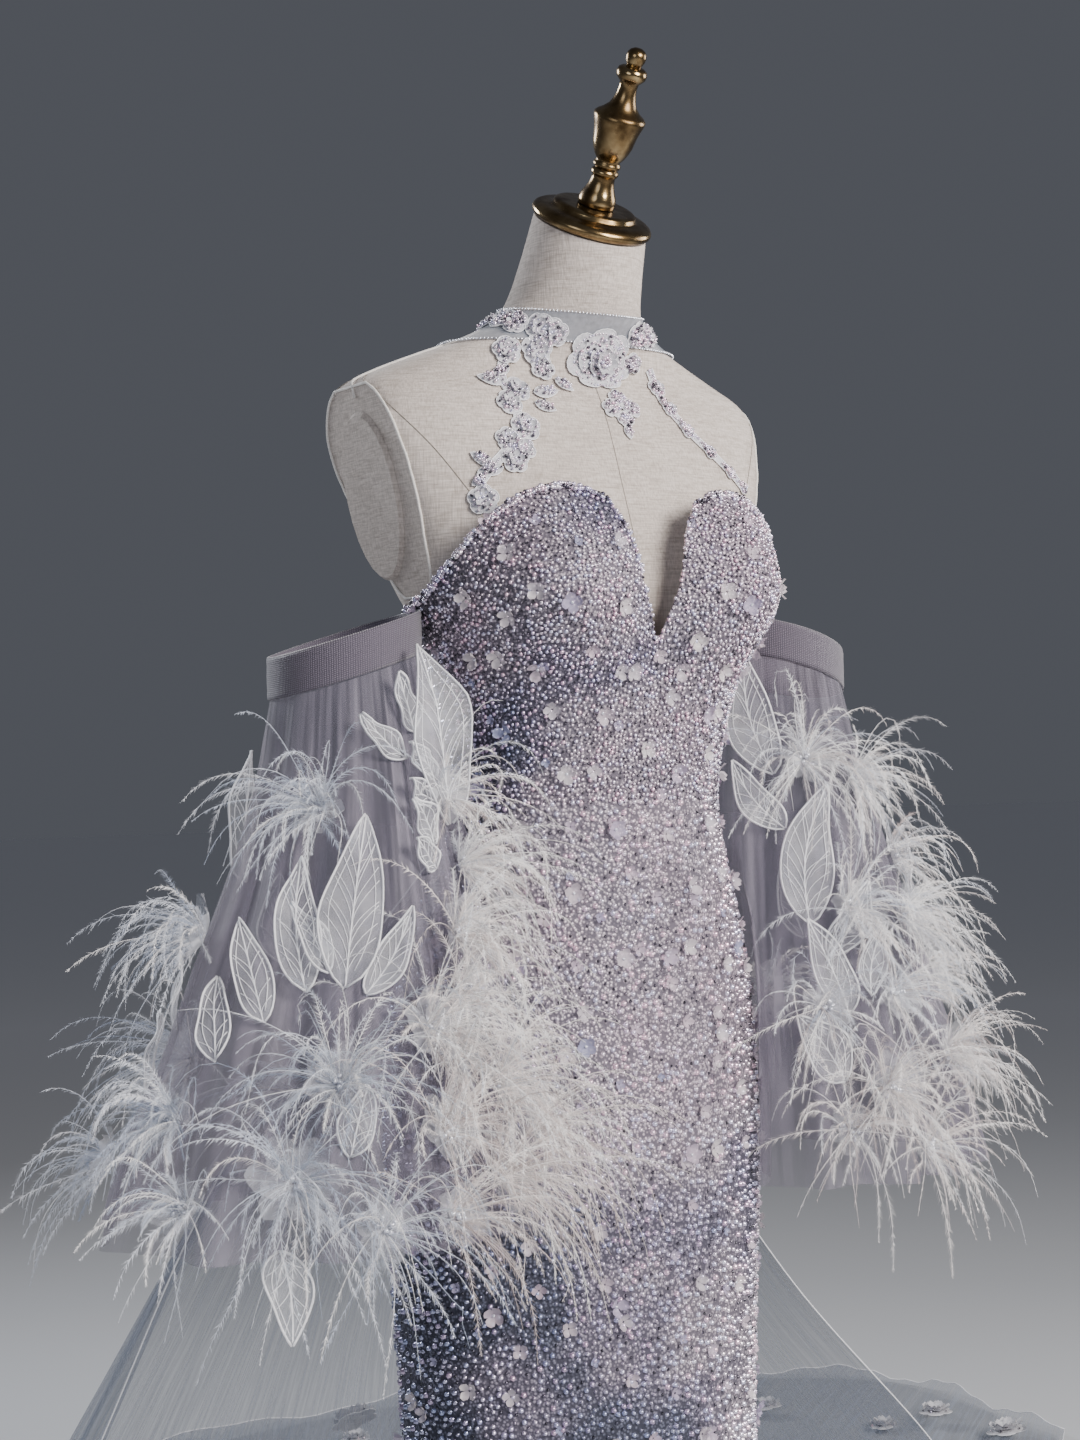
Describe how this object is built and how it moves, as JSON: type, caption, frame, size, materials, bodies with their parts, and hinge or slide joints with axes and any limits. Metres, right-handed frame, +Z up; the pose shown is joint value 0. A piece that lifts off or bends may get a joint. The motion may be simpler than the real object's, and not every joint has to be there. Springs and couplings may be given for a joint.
{
  "type": "evening dress on a dress form",
  "caption": "Strapless beaded evening gown with lace halter collar, detached feathered bell sleeves and tulle train, worn by a limbless linen dress form on a stand.",
  "frame": {"origin": "centre of the underside of the form's base, on the floor", "axes": "+Z up, the form faces -Y, its right side is at -X, the train runs towards +Y and +X"},
  "size_m": [1.9947, 2, 1.6908],
  "materials": {
    "linen": "matte woven linen",
    "brass": "aged, half-polished brass",
    "iron": "black satin paint",
    "steel": "brushed",
    "beadwork": "silver-lilac beads on tulle over lilac lining",
    "band_tulle": "stiff woven band, mauve grey",
    "sleeve_tulle": "sheer lilac-grey tulle",
    "train_tulle": "sheer blue-grey tulle",
    "collar_tulle": "sheer blue-grey tulle with beads",
    "beaded_lace": "white beaded lace",
    "organza": "white embroidered organza",
    "feather": "ivory ostrich feather"
  },
  "bodies": {
    "root": {"form_torso": "linen", "form_arm_plate_right": "linen", "form_arm_plate_left": "linen", "form_neck_cap": "brass", "form_finial": "brass", "form_base": "iron", "form_pole": "steel", "gown_front": "beadwork", "gown_back": "beadwork", "gown_back_zip": "band_tulle", "sleeve_right_band": "band_tulle", "sleeve_left_band": "band_tulle", "sleeve_right_bell": "sleeve_tulle", "sleeve_left_bell": "sleeve_tulle", "train_gore_right": "train_tulle", "train_gore_centre": "train_tulle", "train_gore_left": "train_tulle", "collar_band": "collar_tulle", "collar_rose": "beaded_lace", "collar_drop": "beaded_lace", "collar_strap_right": "beaded_lace", "collar_strap_left": "beaded_lace", "leaf_right_01": "organza", "leaf_right_02": "organza", "leaf_right_03": "organza", "leaf_right_04": "organza", "leaf_right_05": "organza", "leaf_right_06": "organza", "leaf_right_07": "organza", "leaf_right_08": "organza", "leaf_right_09": "organza", "leaf_left_01": "organza", "leaf_left_02": "organza", "leaf_left_03": "organza", "leaf_left_04": "organza", "leaf_left_05": "organza", "plume_right_01": "feather", "plume_right_02": "feather", "plume_right_03": "feather", "plume_right_04": "feather", "plume_right_05": "feather", "plume_right_06": "feather", "plume_right_07": "feather", "plume_right_08": "feather", "plume_right_09": "feather", "plume_right_10": "feather", "plume_right_11": "feather", "plume_right_12": "feather", "plume_left_01": "feather", "plume_left_02": "feather", "plume_left_03": "feather", "plume_left_04": "feather", "plume_left_05": "feather", "plume_left_06": "feather", "plume_left_07": "feather", "plume_left_08": "feather"}
  },
  "joints": []
}
